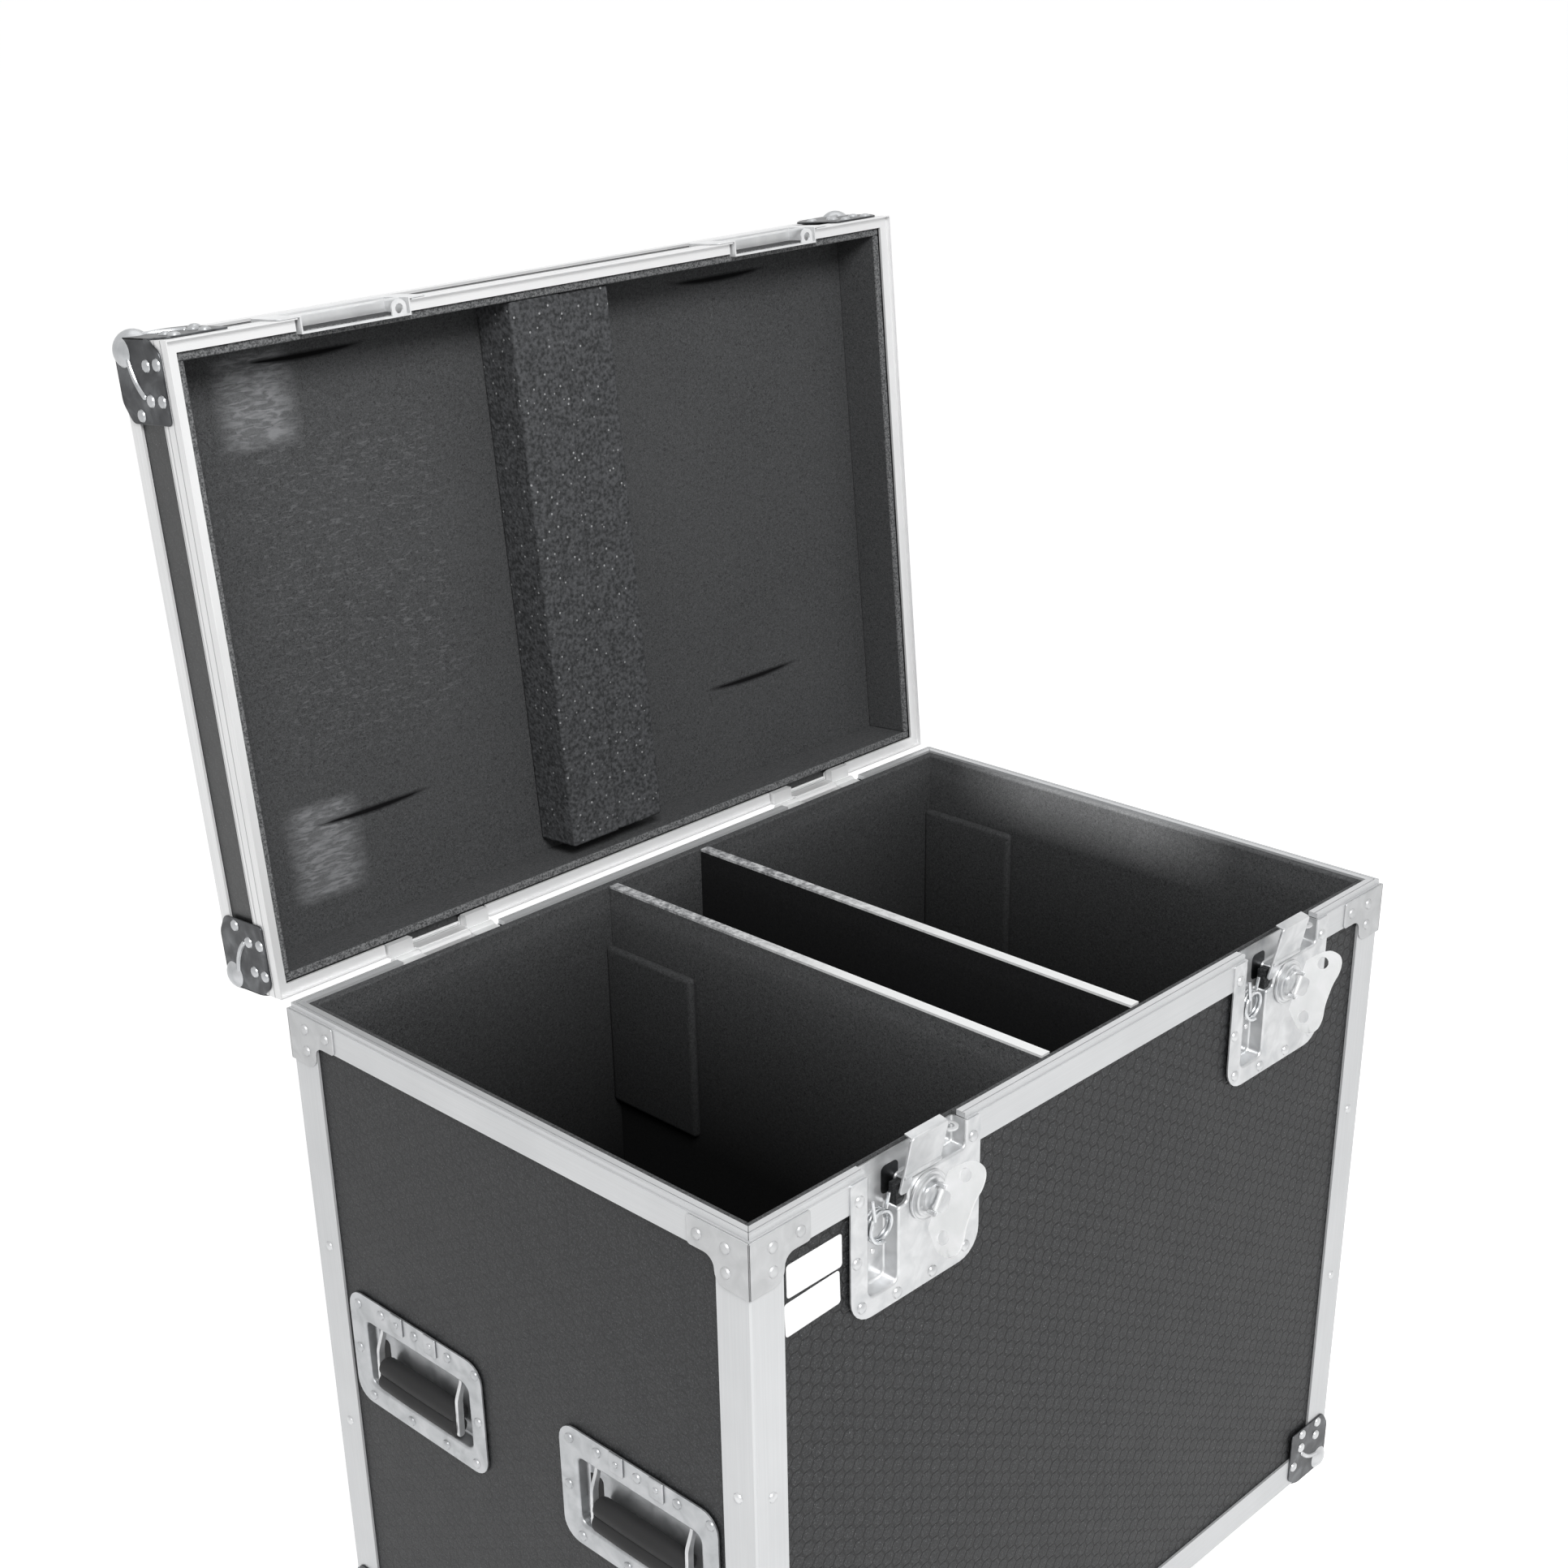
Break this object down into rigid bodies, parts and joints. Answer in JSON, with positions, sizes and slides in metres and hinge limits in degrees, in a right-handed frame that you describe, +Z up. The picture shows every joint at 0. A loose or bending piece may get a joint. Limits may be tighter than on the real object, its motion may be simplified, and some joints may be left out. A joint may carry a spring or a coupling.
{
  "type": "flight case",
  "caption": "Plywood flight case in aluminium extrusions with an open hinged lid, three felt-lined bays, twist latches, side handles, ball corners and castors",
  "frame": {"origin": "on the floor under the middle of the open case's outline box", "axes": "+Z up, -Y towards the latches, +Y towards the hinges, +X to the right seen from the latches"},
  "size_m": [0.748, 0.656, 1.1948],
  "materials": {
    "aluminium": "satin extruded aluminium with drawn lines",
    "zinc_steel": "zinc-plated pressed steel, fairly bright",
    "laminate": "plywood with a dark grey laminate embossed with small hexagons",
    "felt": "dark grey felt over thin board and foam",
    "divider": "plywood divider covered in dark felt with a worn pale top edge",
    "rubber": "moulded black rubber grip",
    "wheel": "black rubber tread on a dark plastic core"
  },
  "bodies": {
    "base": {"base_rim_front": "aluminium", "base_rim": "aluminium", "bottom_edge_frame": "aluminium", "post_front_left": "aluminium", "post_front_right": "aluminium", "post_back_left": "aluminium", "post_back_right": "aluminium", "front_panel": "laminate", "back_panel": "laminate", "left_panel": "laminate", "right_panel": "laminate", "base_lining": "felt", "divider_left": "divider", "divider_right": "divider", "corner_brace_front_left": "zinc_steel", "base_ball_corner_front_left": "zinc_steel", "corner_brace_front_right": "zinc_steel", "base_ball_corner_front_right": "zinc_steel", "corner_brace_back_left": "zinc_steel", "base_ball_corner_back_left": "zinc_steel", "corner_brace_back_right": "zinc_steel", "base_ball_corner_back_right": "zinc_steel", "latch_dish_left": "zinc_steel", "latch_dish_right": "zinc_steel", "handle_dish_left_back": "zinc_steel", "handle_dish_left_front": "zinc_steel", "handle_dish_right_back": "zinc_steel", "handle_dish_right_front": "zinc_steel", "floor_panel": "laminate", "hinge_base_leaf_left": "zinc_steel", "hinge_base_leaf_right": "zinc_steel"},
    "lid": {"lid_rim_front": "aluminium", "lid_rim": "aluminium", "lid_edge_frame": "aluminium", "lid_ball_corner_front_left": "zinc_steel", "lid_ball_corner_front_right": "zinc_steel", "lid_ball_corner_back_left": "zinc_steel", "lid_ball_corner_back_right": "zinc_steel", "latch_strike_left": "zinc_steel", "latch_strike_right": "zinc_steel", "hinge_lid_leaf_left": "zinc_steel", "hinge_lid_leaf_right": "zinc_steel", "lid_shell": "laminate", "lid_lining": "felt"},
    "latch_cam_left": {"latch_cam_left": "zinc_steel"},
    "latch_wing_left": {"latch_wing_left": "zinc_steel"},
    "latch_hook_left": {"latch_hook_left": "zinc_steel"},
    "latch_cam_right": {"latch_cam_right": "zinc_steel"},
    "latch_wing_right": {"latch_wing_right": "zinc_steel"},
    "latch_hook_right": {"latch_hook_right": "zinc_steel"},
    "handle_grip_left_back": {"handle_grip_left_back": "rubber"},
    "handle_grip_left_front": {"handle_grip_left_front": "rubber"},
    "handle_grip_right_back": {"handle_grip_right_back": "rubber"},
    "handle_grip_right_front": {"handle_grip_right_front": "rubber"},
    "castor_fork_front_left": {"castor_fork_front_left": "zinc_steel"},
    "castor_wheel_front_left": {"castor_wheel_front_left": "wheel"},
    "castor_fork_front_right": {"castor_fork_front_right": "zinc_steel"},
    "castor_wheel_front_right": {"castor_wheel_front_right": "wheel"},
    "castor_wheel_back_left": {"castor_wheel_back_left": "wheel"},
    "castor_wheel_back_right": {"castor_wheel_back_right": "wheel"}
  },
  "joints": [
    {"name": "lid_hinge", "type": "hinge", "parent": "base", "child": "lid", "pos_m": [0, 0.20888, 0.7084], "axis": [1, 0, 0], "range_deg": [0, 95]},
    {"name": "latch_cam_left_turn", "type": "hinge", "parent": "base", "child": "latch_cam_left", "pos_m": [-0.19925, -0.27772, 0.672], "axis": [0, 1, 0], "range_deg": [0, 180]},
    {"name": "latch_wing_left_fold", "type": "hinge", "parent": "latch_cam_left", "child": "latch_wing_left", "pos_m": [-0.19925, -0.28702, 0.672], "axis": [0.5, 0, 0.866], "range_deg": [0, 90]},
    {"name": "latch_hook_left_tilt", "type": "hinge", "parent": "base", "child": "latch_hook_left", "pos_m": [-0.20225, -0.27822, 0.696], "axis": [1, 0, 0], "range_deg": [-12, 0]},
    {"name": "latch_cam_right_turn", "type": "hinge", "parent": "base", "child": "latch_cam_right", "pos_m": [0.23075, -0.27772, 0.672], "axis": [0, 1, 0], "range_deg": [0, 180]},
    {"name": "latch_wing_right_fold", "type": "hinge", "parent": "latch_cam_right", "child": "latch_wing_right", "pos_m": [0.23075, -0.28702, 0.672], "axis": [0.5, 0, 0.866], "range_deg": [0, 90]},
    {"name": "latch_hook_right_tilt", "type": "hinge", "parent": "base", "child": "latch_hook_right", "pos_m": [0.22775, -0.27822, 0.696], "axis": [1, 0, 0], "range_deg": [-12, 0]},
    {"name": "handle_left_back_swing", "type": "hinge", "parent": "base", "child": "handle_grip_left_back", "pos_m": [-0.36, 0.08728, 0.456], "axis": [0, 1, 0], "range_deg": [0, 90], "stiffness_Nm_per_rad": 0.15, "springref_deg": -20.05},
    {"name": "handle_left_front_swing", "type": "hinge", "parent": "base", "child": "handle_grip_left_front", "pos_m": [-0.36, -0.15972, 0.456], "axis": [0, 1, 0], "range_deg": [0, 90], "stiffness_Nm_per_rad": 0.15, "springref_deg": -20.05},
    {"name": "handle_right_back_swing", "type": "hinge", "parent": "base", "child": "handle_grip_right_back", "pos_m": [0.36, 0.08728, 0.456], "axis": [0, -1, 0], "range_deg": [0, 90], "stiffness_Nm_per_rad": 0.15, "springref_deg": -20.05},
    {"name": "handle_right_front_swing", "type": "hinge", "parent": "base", "child": "handle_grip_right_front", "pos_m": [0.36, -0.15972, 0.456], "axis": [0, -1, 0], "range_deg": [0, 90], "stiffness_Nm_per_rad": 0.15, "springref_deg": -20.05},
    {"name": "castor_front_left_swivel", "type": "hinge", "parent": "base", "child": "castor_fork_front_left", "pos_m": [-0.2505, -0.17122, 0.1], "axis": [0, 0, 1], "continuous": true},
    {"name": "castor_wheel_front_left_roll", "type": "hinge", "parent": "castor_fork_front_left", "child": "castor_wheel_front_left", "pos_m": [-0.2505, -0.13522, 0.05], "axis": [1, 0, 0], "continuous": true},
    {"name": "castor_front_right_swivel", "type": "hinge", "parent": "base", "child": "castor_fork_front_right", "pos_m": [0.2505, -0.17122, 0.1], "axis": [0, 0, 1], "continuous": true},
    {"name": "castor_wheel_front_right_roll", "type": "hinge", "parent": "castor_fork_front_right", "child": "castor_wheel_front_right", "pos_m": [0.2505, -0.13522, 0.05], "axis": [1, 0, 0], "continuous": true},
    {"name": "castor_wheel_back_left_roll", "type": "hinge", "parent": "base", "child": "castor_wheel_back_left", "pos_m": [-0.2505, 0.13478, 0.05], "axis": [1, 0, 0], "continuous": true},
    {"name": "castor_wheel_back_right_roll", "type": "hinge", "parent": "base", "child": "castor_wheel_back_right", "pos_m": [0.2505, 0.13478, 0.05], "axis": [1, 0, 0], "continuous": true}
  ],
  "couplings": [
    {"joint": "latch_hook_left_tilt", "follows": "latch_cam_left_turn", "ratio": -0.066667},
    {"joint": "latch_hook_right_tilt", "follows": "latch_cam_right_turn", "ratio": -0.066667}
  ]
}
